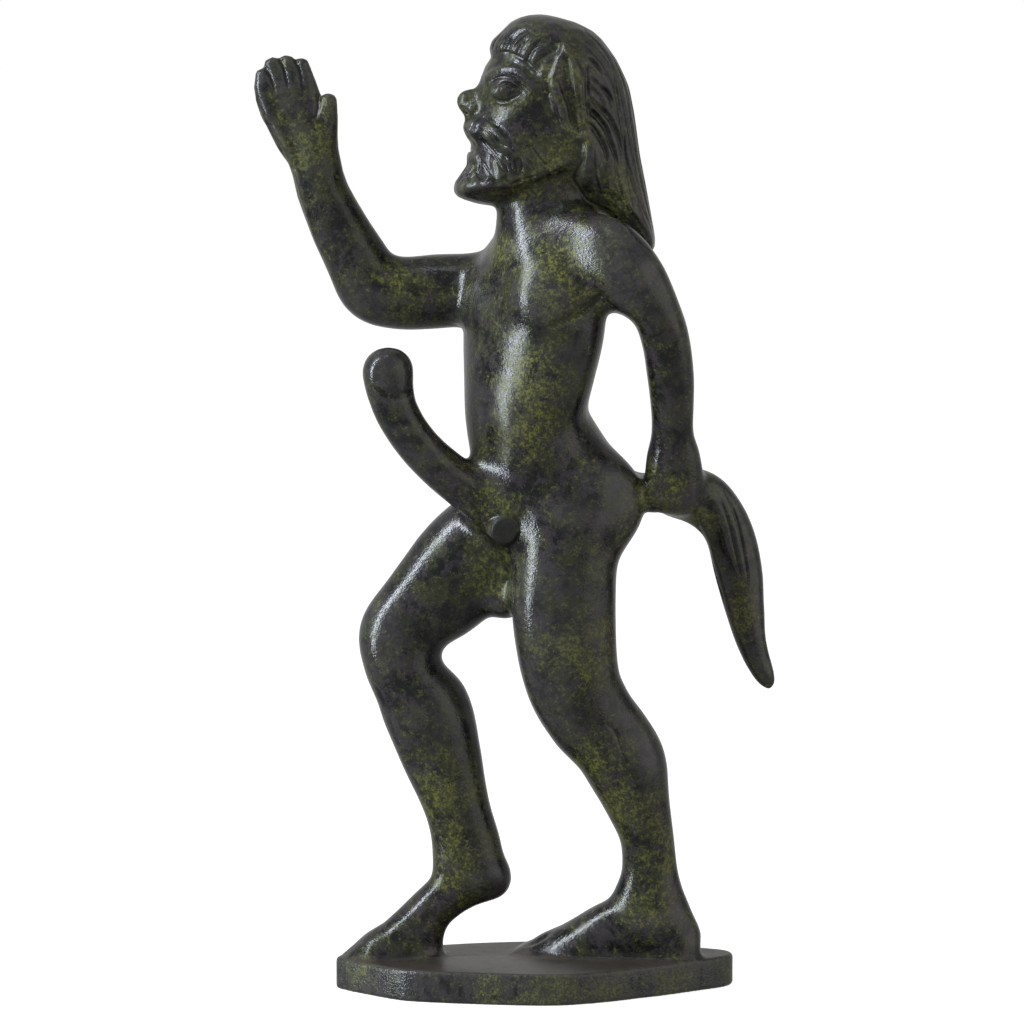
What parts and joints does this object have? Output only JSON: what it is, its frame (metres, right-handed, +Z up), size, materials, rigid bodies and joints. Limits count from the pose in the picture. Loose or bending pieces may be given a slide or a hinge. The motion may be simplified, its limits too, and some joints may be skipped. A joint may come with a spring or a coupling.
{
  "type": "satyr statuette",
  "caption": "Small bronze figure of a striding bearded satyr with pointed ears and a long tail, one arm raised, cast in one piece with a low oval plinth it stands on.",
  "frame": {"origin": "on the plinth's flat underside, near the middle of its outline, under the figure's middle", "axes": "+Z up; the figure strides and faces towards -X; its left side, with the arm that reaches back to the tail, is towards -Y"},
  "size_m": [0.1066, 0.0425, 0.2005],
  "materials": {
    "patinated_bronze": null
  },
  "bodies": {
    "root": {"satyr_statuette": "patinated_bronze"}
  },
  "joints": []
}
